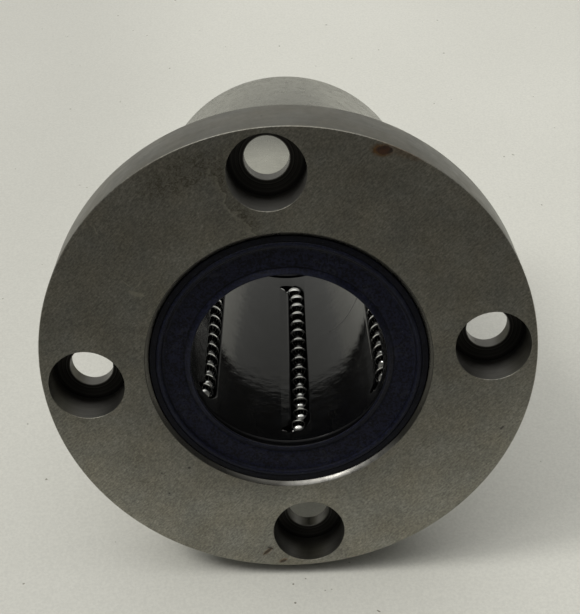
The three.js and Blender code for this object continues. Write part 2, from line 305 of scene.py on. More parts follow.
soft_light("window", (-0.60, -0.22, 0.77), distance=3.0, size=0.8, power=34.0, mirrored=False)
soft_light("ceiling_panel", (-0.37, -0.46, 0.80), distance=1.3, size=0.2, power=1.0, mirrored=True)


def make_dark_card():
    """The dim side of the room: a card in front that only reflections see, leaning off the object."""
    left, right = -0.55, 0.35
    near, bottom = -0.055, 0.002
    far, top = -0.33, 0.26
    corners = [
        on_floor(left, near, bottom),
        on_floor(right, near, bottom),
        on_floor(right, far, top),
        on_floor(left, far, top),
    ]
    mesh = bpy.data.meshes.new("dark_card")
    mesh.from_pydata(corners, [], [(0, 1, 2, 3)])
    card = bpy.data.objects.new("dark_card", mesh)
    bpy.context.scene.collection.objects.link(card)
    card.visible_camera = False
    card.visible_diffuse = False
    card.visible_shadow = False
    material = bpy.data.materials.new("dark_card")
    material.use_nodes = True
    n = Nodes(material.node_tree)
    dim = n.add("ShaderNodeEmission", Color=(0.15, 0.146, 0.13, 1), Strength=1.0)
    n.add("ShaderNodeOutputMaterial", Surface=dim.outputs[0])
    mesh.materials.append(material)


make_dark_card()

# ---------------------------------------------------------------- mesh helpers


def link(name, mesh):
    """An object with this mesh, in the scene."""
    piece = bpy.data.objects.new(name, mesh)
    bpy.context.scene.collection.objects.link(piece)
    return piece


def turned_mesh(outline, sides=TURNED_SIDES):
    """A closed outline of (radius, y) turned about the bore's axis. Radius 0 points make a solid core."""
    work = bmesh.new()
    rings = []
    for radius, y in outline:
        if radius == 0:
            rings.append([work.verts.new((0, y, 0))])
            continue
        angles = (2 * math.pi * i / sides for i in range(sides))
        rings.append([work.verts.new((radius * math.cos(a), y, radius * math.sin(a))) for a in angles])
    closed = outline[0][0] > 0
    pairs = list(zip(rings, rings[1:])) + ([(rings[-1], rings[0])] if closed else [])
    for one, other in pairs:
        for i in range(sides):
            k = (i + 1) % sides
            corners = [one[i % len(one)], one[k % len(one)], other[k % len(other)], other[i % len(other)]]
            face = list(dict.fromkeys(corners))
            if len(face) > 2:
                work.faces.new(face)
    return mesh_of(work)


def rounded(outline, radius, steps=4):
    """An outline with each corner rounded to about this radius, or less beside a short side."""
    longest_share = 0.45
    nearly_straight = math.radians(175)
    points = [Vector(p) for p in outline]
    out = []
    for i, corner in enumerate(points):
        before = points[i - 1] - corner
        after = points[(i + 1) % len(points)] - corner
        spread = before.angle(after)
        if spread > nearly_straight:
            out.append(tuple(corner))
            continue
        shorter = min(before.length, after.length)
        reach = min(radius / math.tan(spread / 2), shorter * longest_share)
        start = corner + before.normalized() * reach
        end = corner + after.normalized() * reach
        for k in range(steps + 1):
            t = k / steps
            out.append(tuple(start * (1 - t) ** 2 + corner * 2 * t * (1 - t) + end * t**2))
    return out


def swept_loop(work, points, section):
    """A closed sweep along a closed path, into a bmesh. The section's points are (sideways, inward),
    inward being the way to the bore's axis."""
    rings = []
    for i, point in enumerate(points):
        along = (points[(i + 1) % len(points)] - points[i - 1]).normalized()
        to_axis = -Vector((point.x, 0, point.z))
        inward = (to_axis - along * to_axis.dot(along)).normalized()
        across = along.cross(inward)
        rings.append([work.verts.new(point + across * u + inward * w) for u, w in section])
    sides = len(section)
    for i, ring in enumerate(rings):
        following = rings[(i + 1) % len(rings)]
        for k in range(sides):
            work.faces.new([ring[k], ring[(k + 1) % sides], following[(k + 1) % sides], following[k]])


def mesh_of(work):
    """A mesh of what a bmesh holds, with its faces turned outwards."""
    bmesh.ops.recalc_face_normals(work, faces=work.faces)
    mesh = bpy.data.meshes.new("made")
    work.to_mesh(mesh)
    work.free()
    return mesh


def cut_away(piece, cutter_mesh):
    """Cuts a closed mesh out of a piece, for good."""
    cutter = link("cutter", cutter_mesh)
    modifier = piece.modifiers.new("cut", "BOOLEAN")
    modifier.operation = "DIFFERENCE"
    modifier.solver = "EXACT"
    modifier.object = cutter
    graph = bpy.context.evaluated_depsgraph_get()
    made = bpy.data.meshes.new_from_object(piece.evaluated_get(graph))
    piece.modifiers.clear()
    piece.data = made
    bpy.data.objects.remove(cutter)


def finish_piece(piece, node, body, material, sharp=30):
    """Smooth shading with crisp edges, and everything the frame wants to know."""
    mesh = piece.data
    mesh.materials.clear()
    mesh.materials.append(material)
    mesh.shade_smooth()
    mesh.set_sharp_from_angle(angle=math.radians(sharp))
    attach(piece, body)
    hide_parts(node)


# ---------------------------------------------------------------- ball circuits


def circuit_plane(number):
    """Where a circuit lies: its centre line's middle, and the unit vectors from the return row to the
    loaded one (across) and along the turns' axis (normal)."""
    turn = joints[f"circuit_{number}_front_turn"]
    x, _, z = turn["pos_m"]
    normal = Vector(turn["axis"]).normalized()
    along = Vector((0, 1, 0))
    across = along.cross(normal).normalized()
    return Vector((x, 0, z)), across, along, normal


def track_points(number, turn_steps=20):
    """The closed path of a circuit's balls: two straight rows and two half-round turns."""
    middle, across, along, _ = circuit_plane(number)
    points = []
    for y, side in ((REAR_TURN_Y, 1), (FRONT_TURN_Y, -1)):
        for k in range(turn_steps + 1):
            angle = math.pi * k / turn_steps
            turn_across = side * math.cos(angle) * TURN_RADIUS
            turn_along = y + side * math.sin(angle) * TURN_RADIUS
            points.append(middle + across * turn_across + along * turn_along)
    return points


def balls_mesh(centres, fineness):
    """Round balls at these centres, as one mesh."""
    work = bmesh.new()
    for centre in centres:
        bmesh.ops.create_icosphere(
            work, subdivisions=fineness, radius=BALL_RADIUS, matrix=Matrix.Translation(centre)
        )
    return mesh_of(work)


def make_circuit(number, steel):
    """The four groups of balls of one circuit. The return balls don't show, so they are coarser."""
    middle, across, along, _ = circuit_plane(number)
    row = [FRONT_TURN_Y + (k + 0.5) * BALL_PITCH for k in range(BALLS_PER_ROW)]
    step = math.pi / BALLS_PER_TURN
    bends = [(k + 0.5) * step for k in range(BALLS_PER_TURN)]

    def straight(side):
        return [middle + across * side * TURN_RADIUS + along * y for y in row]

    def bent(y, side):
        arm = [across * math.cos(a) + along * side * math.sin(a) for a in bends]
        return [middle + along * y + v * TURN_RADIUS for v in arm]

    for kind, body, centres in (
        ("loaded_balls", "loaded_row", straight(1)),
        ("return_balls", "return_row", straight(-1)),
        ("front_turn_balls", "front_turn", bent(FRONT_TURN_Y, -1)),
        ("rear_turn_balls", "rear_turn", bent(REAR_TURN_Y, 1)),
    ):
        fineness = 2 if kind == "return_balls" else 4
        piece = link(f"{kind}_{number}_round", balls_mesh(centres, fineness))
        finish_piece(piece, f"{kind}_{number}", f"{body}_{number}", steel, sharp=60)


# ---------------------------------------------------------------- sleeve, retainer and end pieces


def sleeve_mesh():
    """The sleeve and its flange, turned, without the holes and the return grooves."""
    flange, barrel = FLANGE_RADIUS, BARREL_RADIUS
    front_edge, back_edge, barrel_edge = 0.09 * MM, 0.2 * MM, 0.7 * MM
    seat = SEAT_RADIUS
    front_shoulder = FRONT_Y + FRONT_SEAT_DEPTH
    rear_shoulder = REAR_Y - REAR_SEAT_DEPTH
    race_over, race_lead = 0.3 * MM, 0.7 * MM
    sink, undercut, undercut_width = 0.15 * MM, 0.3 * MM, 1.4 * MM
    outline = [
        (flange - front_edge, FRONT_Y),
        (flange, FRONT_Y + front_edge),
        (flange, -back_edge),
        (flange - back_edge, 0),
        (barrel + sink, 0),
        (barrel - undercut, -sink),
        (barrel - undercut, undercut_width),
        (barrel, undercut_width + undercut),
        (barrel, REAR_Y - barrel_edge),
        (barrel - barrel_edge, REAR_Y),
        (seat + SEAT_CHAMFER, REAR_Y),
        (seat, REAR_Y - SEAT_CHAMFER),
        (seat, rear_shoulder),
        (RELIEF_RADIUS, rear_shoulder),
        (RELIEF_RADIUS, REAR_TURN_Y + race_over + race_lead),
        (RACEWAY_RADIUS, REAR_TURN_Y + race_over),
        (RACEWAY_RADIUS, FRONT_TURN_Y - race_over),
        (RELIEF_RADIUS, FRONT_TURN_Y - race_over - race_lead),
        (RELIEF_RADIUS, front_shoulder),
        (seat, front_shoulder),
        (seat, FRONT_Y + SEAT_CHAMFER),
        (seat + SEAT_CHAMFER, FRONT_Y),
    ]
    return turned_mesh(rounded(outline, 0.05 * MM, 2))


def screw_hole_meshes():
    """The four counterbored holes, each as a turned plug with small chamfers at the front and a wide
    one at the back."""
    burr, back_lead = 0.045 * MM, SCREW_HOLE_BACK_CHAMFER
    over = 1 * MM
    floor = FRONT_Y + SCREW_HEAD_DEPTH
    outline = [
        (0, FRONT_Y - over),
        (SCREW_HEAD_RADIUS + burr + over, FRONT_Y - over),
        (SCREW_HEAD_RADIUS, FRONT_Y + burr),
        (SCREW_HEAD_RADIUS, floor),
        (SCREW_HOLE_RADIUS + burr, floor),
        (SCREW_HOLE_RADIUS, floor + burr),
        (SCREW_HOLE_RADIUS, -back_lead),
        (SCREW_HOLE_RADIUS + back_lead + over, over),
        (0, over),
    ]
    work = bmesh.new()
    for i in range(SCREWS):
        angle = 2 * math.pi * i / SCREWS
        plug = turned_mesh(outline, SCREW_HOLE_SIDES)
        centre = Vector((math.cos(angle), 0, math.sin(angle))) * SCREW_CIRCLE_RADIUS
        plug.transform(Matrix.Translation(centre))
        work.from_mesh(plug)
    return mesh_of(work)


def return_groove_mesh():
    """The grooves in the sleeve that give the return rows room."""
    over = 1.5 * MM
    work = bmesh.new()
    for number in range(1, CIRCUITS + 1):
        middle, across, _, _ = circuit_plane(number)
        centre = middle - across * TURN_RADIUS
        length = ROW_LENGTH + 2 * over
        y = (FRONT_TURN_Y + REAR_TURN_Y) / 2
        turn = Matrix.Rotation(math.pi / 2, 4, "X")
        bmesh.ops.create_cone(
            work,
            cap_ends=True,
            segments=TUBE_SIDES,
            radius1=CHANNEL_RADIUS,
            radius2=CHANNEL_RADIUS,
            depth=length,
            matrix=Matrix.Translation((centre.x, y, centre.z)) @ turn,
        )
    return mesh_of(work)


def make_sleeve(steel):
    """The flanged sleeve, with its screw holes and return grooves cut."""
    piece = link("flanged_sleeve_fine", sleeve_mesh())
    cut_away(piece, screw_hole_meshes())
    cut_away(piece, return_groove_mesh())
    finish_piece(piece, "flanged_sleeve", "housing", steel, sharp=25)


def channel_section():
    """Half of the channel's section, mirrored: round, with bevelled lips where it opens to the bore."""
    bevel_start, bevel_end, lip_end = 0.83 * MM, 0.98 * MM, 1.1 * MM
    slot_half = 1.43 * MM
    lip_steps = 5

    def arc(from_inward, to_inward, steps):
        start, stop = (math.asin(w / CHANNEL_RADIUS) for w in (from_inward, to_inward))
        angles = (start + (stop - start) * k / steps for k in range(steps + 1))
        return [(CHANNEL_RADIUS * math.cos(a), CHANNEL_RADIUS * math.sin(a)) for a in angles]

    half = arc(-CHANNEL_RADIUS, bevel_start, TUBE_SIDES // 2)
    half += [(slot_half, bevel_end), (slot_half, lip_end)]
    half += arc(lip_end, CHANNEL_RADIUS, lip_steps)
    return half[:-1] + [(-u, w) for u, w in reversed(half[1:])]


def make_retainer(resin):
    """The resin cage: a turned tube with the six closed channels cut, which open to the bore as slots."""
    front, rear = retainer_low.y, retainer_high.y
    bore, outer, edge = RETAINER_BORE_RADIUS, RETAINER_OUTER_RADIUS, 0.2 * MM
    outline = [
        (bore + edge, front),
        (outer, front),
        (outer, rear),
        (bore + edge, rear),
        (bore, rear - edge),
        (bore, front + edge),
    ]
    piece = link("ball_retainer_fine", turned_mesh(rounded(outline, 0.1 * MM, 5)))
    work = bmesh.new()
    for number in range(1, CIRCUITS + 1):
        swept_loop(work, track_points(number), channel_section())
    cut_away(piece, mesh_of(work))
    finish_piece(piece, "ball_retainer", "housing", resin, sharp=35)


def make_ring(node, corners, material, corner_radius):
    """A turned ring in place of this node, with its corners rounded."""
    piece = link(f"{node}_fine", turned_mesh(rounded(corners, corner_radius, 4)))
    finish_piece(piece, node, "housing", material)


def ring_corners(node, bore_radius):
    """A plain ring's section: its box in the frame, with this bore."""
    low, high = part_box(node)
    rim = high.x
    return [(bore_radius, low.y), (rim, low.y), (rim, high.y), (bore_radius, high.y)]


def seal_outline(back, outward):
    """The moulded seal's section: rim, bead, broad face with a crease, a lip that leans outwards, and
    the recess at its back for the core. Points are a radius and a drop below the front, in mm."""
    thick, core_recess = 1.85, 0.6

    def at(radius, drop):
        return (radius * MM, back + outward * (thick - drop) * MM)

    return [
        at(17.4, thick),
        at(17.4, 0.06),
        at(16.72, 0.05),
        at(16.62, 0.16),
        at(16.5, 0.02),
        at(16.25, -0.05),
        at(16.0, 0.03),
        at(15.88, 0.3),
        at(15.6, 0.42),
        at(13.35, 0.44),
        at(13.12, 0.55),
        at(12.95, 0.46),
        at(12.42, 0.1),
        at(12.3, 0.14),
        at(12.32, 0.4),
        at(13.05, 1.2),
        at(13.1, thick),
        at(14.15, thick),
        at(14.15, thick - core_recess),
        at(16.95, thick - core_recess),
        at(16.95, thick),
    ]


def make_end(end, outward, steel, rubber):
    """The side ring, the seal's core and the seal of one end; outward is -1 at the front."""
    for kind, bore_radius, corner_radius in (
        ("side_ring", SIDE_RING_BORE_RADIUS, 0.12 * MM),
        ("seal_core", SEAL_CORE_BORE_RADIUS, 0.08 * MM),
    ):
        node = f"{end}_{kind}"
        make_ring(node, ring_corners(node, bore_radius), steel, corner_radius)
    node = f"{end}_seal"
    low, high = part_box(node)
    back = high.y if outward < 0 else low.y
    make_ring(node, seal_outline(back, outward), rubber, 0.08 * MM)


# ---------------------------------------------------------------- materials


class Finish(Nodes):
    """A procedural material in the part's own millimetres."""

    def __init__(self, name):
        self.material = bpy.data.materials.new(name)
        self.material.use_nodes = True
        super().__init__(self.material.node_tree)
        metres = self.add("ShaderNodeTexCoord").outputs["Object"]
        self.where = self.place(metres, (1 / MM, 1 / MM, 1 / MM))
        self.x, self.y, self.z = self.add("ShaderNodeSeparateXYZ", Vector=self.where).outputs
        self.radius = self.length(self.x, self.z)

    def times(self, *values):
        """The product of several values."""
        product = values[0]
        for value in values[1:]:
            product = self.math("MULTIPLY", product, value)
        return product

    def most(self, *values):
        """The largest of several values."""
        largest = values[0]
        for value in values[1:]:
            largest = self.math("MAXIMUM", largest, value)
        return largest

    def length(self, a, b):
        return self.math("SQRT", self.math("ADD", self.times(a, a), self.times(b, b)))

    def outside(self, mask):
        """1 where the mask is 0, and 0 where it is 1."""
        return self.math("SUBTRACT", 1.0, mask)

    def between(self, value, low, high):
        """1 between these two numbers, and 0 elsewhere."""
        return self.times(self.math("GREATER_THAN", value, low), self.math("LESS_THAN", value, high))

    def distance(self, value, target):
        return self.math("ABSOLUTE", self.math("SUBTRACT", value, target))

    def near(self, value, target, reach):
        """1 at the target, down to 0 at this reach from it."""
        off = self.math("DIVIDE", self.distance(value, target), reach)
        return self.math("SUBTRACT", 1.0, off, clamp=True)

    def shade(self, colour, factor):
        """The colour times a grey factor."""
        return self.mix(1.0, colour, factor, "MULTIPLY")

    def swing(self, value, low, high):
        """A noise value spread over low to high."""
        return self.ramp(value, (0.3, low), (0.7, high))

    def sharp_swing(self, value, low, high):
        """The same, with more contrast."""
        return self.ramp(value, (0.41, low), (0.59, high))

    def lines_round_bore(self, fineness, detail=5):
        """Fine marks that run round the bore, as turning and grinding leave them."""
        return self.noise(self.place(self.where, (0.09, fineness, 0.09)), 1.0, detail, 0.6)

    def diagonal_grain(self, tilt, stretch, detail):
        """Fine marks across the faces, tilted by this many degrees."""
        tilted = self.place(self.where, rotation=(0, math.radians(tilt), 0))
        return self.noise(self.place(tilted, stretch), 1.0, detail, 0.7)

    def spot(self, x, z, width, height, tilt=0.0, ragged=0.5, soft=0.45):
        """A ragged oval on a face across the bore, 1 inside and 0 outside; sizes are half axes in mm."""
        along, aside = math.cos(math.radians(tilt)), math.sin(math.radians(tilt))
        dx = self.math("SUBTRACT", self.x, x)
        dz = self.math("SUBTRACT", self.z, z)
        u = self.math("ADD", self.times(dx, along), self.times(dz, aside))
        w = self.math("SUBTRACT", self.times(dz, along), self.times(dx, aside))
        off = self.length(self.math("DIVIDE", u, width), self.math("DIVIDE", w, height))
        rough_edge = self.math("MULTIPLY_ADD", self.noise(self.where, 2.2, 3), ragged, -ragged / 2)
        return self.ramp(self.math("ADD", off, rough_edge), (1.0 - soft, 1.0), (1.0, 0.0))

    def pits(self, per_mm, size, share):
        """Scattered dots: 1 in a dot, for a share of the cells of a Voronoi pattern."""
        cells = self.add("ShaderNodeTexVoronoi", Vector=self.where, Scale=per_mm, Randomness=1.0)
        random_value = self.add("ShaderNodeSeparateXYZ", Vector=cells.outputs["Color"]).outputs[0]
        chosen = self.math("LESS_THAN", random_value, share)
        dot = self.ramp(cells.outputs["Distance"], (size * 0.5, 1.0), (size, 0.0))
        return self.times(chosen, dot)

    def contours(self, scale, detail, width, roughness=0.5, distortion=0.0):
        """Thin wandering lines: where a noise is within this width of its middle value."""
        wander = self.noise(self.where, scale, detail, roughness, distortion)
        return self.ramp(self.distance(wander, 0.5), (0.0, 1.0), (width, 0.0))

    def hairlines(self, scale, width, rare):
        """Thin wandering lines, only where a slow noise is high."""
        patchy = self.ramp(self.noise(self.where, scale * 0.45, 1), (rare, 0.0), (rare + 0.06, 1.0))
        return self.times(self.contours(scale, 2, width, 0.4, 0.6), patchy)

    def done(self, height, depth, **sockets):
        """Ends the material with a bump of this height, depth deep in millimetres."""
        bump = self.add("ShaderNodeBump", Height=height, Strength=1.0, Distance=depth * MM)
        shader = self.add("ShaderNodeBsdfPrincipled", Normal=bump.outputs[0], **sockets)
        self.add("ShaderNodeOutputMaterial", Surface=shader.outputs[0])
        return self.material


RIM_STEEL = (0.180, 0.175, 0.156)
FACE_STEEL = (0.255, 0.248, 0.218)
BARREL_STEEL = (0.325, 0.322, 0.285)
OTHER_STEEL = (0.25, 0.243, 0.212)
POCKET_TINT = (1.0, 0.97, 0.91)
WARM_TINT, COOL_TINT = (1.025, 1.0, 0.955), (0.985, 1.0, 1.02)
# the front seat edge's painted shade and painted highlight
PAINTED_SHADE_EDGE, PAINTED_HIGHLIGHT_EDGE = (0.095, 0.092, 0.083), (0.42, 0.41, 0.385)
PALE_SCRATCH = (0.52, 0.50, 0.40)
STAIN = (0.078, 0.068, 0.046)
TIDE_LINE_DARK, TIDE_LINE_PALE = (0.070, 0.062, 0.042), (0.52, 0.51, 0.42)
RUST, RUST_FLAKE, RUST_HALO = (0.004, 0.0015, 0.0008), (0.036, 0.010, 0.002), (0.19, 0.088, 0.018)
PIT = (0.02, 0.019, 0.016)


def steel_zones(n):
    """The sleeve's surfaces as masks, and each point's distance from the nearest screw's axis, in mm."""
    front, rim = FRONT_Y / MM, FLANGE_RADIUS / MM
    circle, head, hole = SCREW_CIRCLE_RADIUS / MM, SCREW_HEAD_RADIUS / MM, SCREW_HOLE_RADIUS / MM
    seat, seat_chamfer = SEAT_RADIUS / MM, SEAT_CHAMFER / MM
    pocket_floor, pocket_end = front + SCREW_HEAD_DEPTH / MM, -SCREW_HOLE_BACK_CHAMFER / MM - 0.05
    inside_walls = BARREL_RADIUS / MM - 2.0
    x, z = n.math("ABSOLUTE", n.x), n.math("ABSOLUTE", n.z)
    from_side_screw = n.length(n.math("SUBTRACT", x, circle), z)
    from_upright_screw = n.length(x, n.math("SUBTRACT", z, circle))
    from_screw = n.math("MINIMUM", from_side_screw, from_upright_screw)
    pocket_depth = n.between(n.y, front + 0.1, pocket_end)
    floor_depth = n.between(n.y, pocket_floor - 0.1, pocket_floor + 0.4)
    front_depth = n.math("LESS_THAN", n.y, front + 0.28)
    return SimpleNamespace(
        from_screw=from_screw,
        face=n.math("LESS_THAN", n.y, front + 0.07),
        rim=n.math("GREATER_THAN", n.radius, rim - 0.4),
        barrel=n.times(n.math("GREATER_THAN", n.y, 0.05), n.math("GREATER_THAN", n.radius, inside_walls)),
        pocket=n.times(pocket_depth, n.math("LESS_THAN", from_screw, head + 0.2)),
        pocket_floor=n.times(floor_depth, n.math("GREATER_THAN", from_screw, hole + 0.1)),
        drilled=n.math("LESS_THAN", from_screw, hole + 0.05),
        seat_edge=n.between(n.radius, seat - 0.02, seat + seat_chamfer + 0.07),
        front_edge=n.times(n.between(n.radius, rim - 0.16, rim + 0.1), front_depth),
    )


def steel_colour_with_painted_light(n, zones, grain, fine, rings, mottle):
    """The steel's colour: each surface's tone, blotches and grain; the screw pockets, with painted shade
    on their floors and drilled walls; and painted light on the barrel beside the flange.
    """
    clouds = n.noise(n.where, 0.16, 5, 0.6)
    blotches = n.times(n.swing(clouds, 0.88, 1.12), n.swing(mottle, 0.93, 1.07))
    tint = n.mix(n.swing(n.noise(n.where, 0.24, 3), 0.0, 1.0), WARM_TINT, COOL_TINT)
    colour = n.mix(zones.face, n.mix(zones.rim, OTHER_STEEL, RIM_STEEL), FACE_STEEL)
    colour = n.shade(n.shade(colour, blotches), tint)
    barrel_colour = n.shade(n.grey(n.swing(clouds, 0.96, 1.04)), BARREL_STEEL)
    # painted light: the barrel is painted up to 1.85 times brighter within 13 mm of the flange, fading
    # out by 20 mm, lifting the shade the flange casts there
    painted_light_beside_flange = n.ramp(n.times(n.y, 0.01), (0.13, 1.85), (0.20, 1.0))
    colour = n.mix(zones.barrel, colour, n.shade(barrel_colour, painted_light_beside_flange))

    speckle = n.noise(n.where, 3.6, 3, 0.8)
    face_tone = n.times(n.sharp_swing(grain, 0.88, 1.12), n.sharp_swing(fine, 0.86, 1.14))
    face_tone = n.times(face_tone, n.sharp_swing(speckle, 0.86, 1.14))
    turned_tone = n.times(n.swing(rings, 0.86, 1.14), n.swing(fine, 0.97, 1.03))
    colour = n.shade(colour, n.mix(zones.face, n.grey(turned_tone), n.grey(face_tone)))

    round_screw = n.add("ShaderNodeCombineXYZ", X=n.times(zones.from_screw, 6.0), Y=n.times(n.y, 5.0))
    tool_marks = n.noise(round_screw.outputs[0], 1.0, 3)
    # painted shade: the pocket floors are painted much darker, and the drilled hole walls a little darker
    tone = n.math("SUBTRACT", n.swing(tool_marks, 0.17, 0.22), n.times(zones.pocket_floor, 0.15))
    tone = n.math("SUBTRACT", tone, n.times(zones.drilled, 0.03))
    return n.mix(zones.pocket, colour, n.shade(n.grey(tone), POCKET_TINT))


def edges_with_painted_light(n, zones, mottle, colour):
    """The seal seat's edges, lightened all round; the front one with painted shade at its sides and a
    painted highlight low on the right; and the flange's front edge, lightened in patches.
    """
    colour = n.mix(n.times(zones.seat_edge, 0.35), colour, (0.5, 0.49, 0.46))
    # painted shade darkens the front seat edge at its sides; a painted highlight brightens it low on the
    # right
    lowest_x, lowest_z, edge_radius = 0.326, -0.945, 17.75
    lowness = n.math("ADD", n.times(n.x, lowest_x / edge_radius), n.times(n.z, lowest_z / edge_radius))
    edge_painted_highlight = n.times(n.ramp(lowness, (0.87, 0.0), (0.95, 1.0)), n.swing(mottle, 0.6, 1.0))
    front_seat_edge = n.times(zones.seat_edge, n.math("LESS_THAN", n.y, 0.0))
    colour = n.mix(front_seat_edge, colour, n.mix(edge_painted_highlight, PAINTED_SHADE_EDGE, PAINTED_HIGHLIGHT_EDGE))
    return n.mix(n.times(zones.front_edge, n.swing(mottle, 0.0, 0.14)), colour, (0.40, 0.39, 0.35))


def scratches(n, face, colour):
    """Faint scribble all over the flange's face, and the photo's pale scratches on its left."""
    scribble = n.times(face, n.hairlines(0.33, 0.006, 0.52))
    colour = n.mix(n.times(scribble, 0.22), colour, (0.5, 0.49, 0.45))
    pale = n.most(
        n.spot(-17.3, 11.9, 1.15, 0.42, tilt=-22, ragged=1.1),
        n.spot(-18.3, 13.4, 1.0, 0.10, tilt=-48),
        n.spot(-16.9, 13.0, 0.9, 0.09, tilt=35),
        n.spot(-20.7, 20.6, 0.9, 0.10, tilt=100),
    )
    return n.mix(n.times(face, pale, 0.34), colour, PALE_SCRATCH)


def tide_marks(n, face, colour):
    """The stains left of the top screw hole, and the wavy dried line that runs down from beside it."""
    stained = n.most(
        n.spot(-9.6, 26.2, 6.4, 2.4, tilt=20, ragged=0.9),
        n.spot(-5.2, 25.7, 1.5, 1.6, ragged=0.9),
        n.spot(-2.9, 20.4, 2.8, 0.9, tilt=-60, ragged=0.9),
    )
    strength = n.math("MULTIPLY_ADD", n.contours(1.3, 3, 0.05, 0.5, 0.8), 0.6, 0.14)
    colour = n.mix(n.times(face, stained, strength), colour, STAIN)

    top_x, top_z, line_length = -5.5, 27.1, 9.2
    below = n.math("SUBTRACT", top_z, n.z)
    slope = n.math("MULTIPLY_ADD", below, 0.17, top_x)
    line = n.math("MULTIPLY_ADD", n.times(below, below), 0.0325, slope)
    wavy_x = n.math("ADD", n.x, n.swing(n.noise(n.where, 0.75, 3), -1.3, 1.3))
    from_line = n.math("SUBTRACT", wavy_x, line)
    along_line = n.times(n.ramp(below, (0.0, 0.0), (0.5, 1.0)), n.math("LESS_THAN", below, line_length))
    dried = n.times(face, along_line, n.swing(n.noise(n.where, 0.9, 2), 0.35, 1.0))
    dark = n.ramp(n.distance(from_line, 0.0), (0.0, 1.0), (0.42, 0.0))
    pale = n.ramp(n.distance(from_line, -0.35), (0.0, 1.0), (0.32, 0.0))
    colour = n.mix(n.times(dried, dark, 0.52), colour, TIDE_LINE_DARK)
    return n.mix(n.times(dried, pale, 0.42), colour, TIDE_LINE_PALE)


def rust_and_pits(n, zones, colour):
    """The rust spot at the top right, two rusty ticks at the bottom, and dark pits. Gives the colour,
    the pits, and all the dirt that takes the metal's shine away."""
    face = zones.face
    trail = n.spot(15.6, 26.6, 3.4, 0.8, tilt=-32, ragged=0.9)
    halo = n.most(n.spot(13.45, 26.85, 1.5, 0.95, tilt=-10), n.times(trail, 0.35))
    rust = n.spot(13.7, 26.85, 1.15, 0.66, tilt=-8, ragged=0.5, soft=0.25)
    streaks = n.most(
        n.spot(-5.87, -28.14, 1.1, 0.34, tilt=37),
        n.spot(-3.95, -29.9, 0.8, 0.34, tilt=20),
    )
    ticks = n.most(
        n.spot(-5.87, -28.14, 0.95, 0.2, tilt=37, ragged=0.3, soft=0.3),
        n.spot(-5.45, -27.65, 0.5, 0.18, tilt=-33, ragged=0.3, soft=0.3),
        n.spot(-3.95, -30.0, 0.55, 0.24, tilt=20, ragged=0.3, soft=0.3),
    )
    colour = n.mix(n.times(face, halo, 0.85), colour, RUST_HALO)
    colour = n.mix(n.times(face, streaks, 0.55), colour, RUST_HALO)
    crust = n.mix(n.sharp_swing(n.noise(n.where, 1.4, 2), 0.0, 1.0), RUST, RUST_FLAKE)
    colour = n.mix(n.times(face, rust, 0.94), colour, crust)

    specks = n.most(n.spot(-14.5, -13.6, 0.26, 0.2), n.spot(26.2, -12.0, 0.42, 0.2, tilt=40))
    few_pits = n.times(n.pits(0.55, 0.10, 0.3), n.outside(n.times(zones.barrel, 0.75)))
    pitted = n.most(few_pits, specks, n.times(face, ticks))
    colour = n.mix(n.times(pitted, 0.75), colour, PIT)
    return colour, pitted, n.times(face, n.most(rust, streaks, pitted))


def ground_steel():
    """The sleeve: a bright ground barrel, and a darker flange with a diagonal grain on its faces."""
    n = Finish("ground_steel")
    zones = steel_zones(n)
    grain = n.diagonal_grain(42, (0.8, 1.0, 4.4), 6)
    fine = n.diagonal_grain(38, (2.2, 1.0, 4.8), 3)
    rings = n.lines_round_bore(9.0)
    mottle = n.noise(n.where, 1.1, 4, 0.6)

    colour = steel_colour_with_painted_light(n, zones, grain, fine, rings, mottle)
    colour = edges_with_painted_light(n, zones, mottle, colour)
    colour = scratches(n, zones.face, colour)
    colour = tide_marks(n, zones.face, colour)
    colour, pitted, dirt = rust_and_pits(n, zones, colour)

    roughness = n.math("ADD", n.swing(n.noise(n.where, 0.7, 4), 0.36, 0.46), n.times(dirt, 0.35))
    smoother = n.most(n.times(zones.barrel, 0.17), n.times(zones.seat_edge, 0.12))
    roughness = n.math("SUBTRACT", roughness, smoother)
    height = n.mix(zones.face, n.grey(rings), n.grey(grain))
    height = n.math("SUBTRACT", n.math("MULTIPLY_ADD", fine, 0.4, height), n.times(pitted, 1.2))
    metal = n.outside(n.times(dirt, 0.9))
    return n.done(height, 0.006, Base_Color=colour, Roughness=roughness, Metallic=metal)


def ring_steel():
    """Stamped washers: dull, a little blue-brown, with marks round the bore."""
    n = Finish("ring_steel")
    marks = n.noise(n.place(n.where, (1.5, 8.0, 1.5)), 1.0, 4, 0.6)
    colour = n.mix(n.noise(n.where, 0.5, 3), (0.34, 0.33, 0.31), (0.46, 0.46, 0.47))
    colour = n.shade(colour, n.swing(marks, 0.85, 1.12))
    return n.done(marks, 0.008, Base_Color=colour, Roughness=n.swing(marks, 0.34, 0.48), Metallic=1.0)


def ball_steel():
    """Lapped balls, oily: nearly a mirror, with faint scratches and smears."""
    n = Finish("ball_steel")
    smear = n.noise(n.where, 1.3, 3)
    scratched = n.noise(n.place(n.where, (9.0, 2.0, 9.0)), 1.0, 4, 0.7)
    colour = n.mix(smear, (0.56, 0.56, 0.55), (0.70, 0.70, 0.68))
    roughness = n.swing(smear, 0.03, 0.08)
    return n.done(scratched, 0.0008, Base_Color=colour, Roughness=roughness, Metallic=1.0)


BARE_RESIN, SCUFFED_RESIN = (0.0004, 0.0005, 0.0013), (0.0014, 0.0015, 0.0028)
RESIN_DUST, RESIN_FLOW = (0.014, 0.016, 0.021), (0.03, 0.03, 0.03)


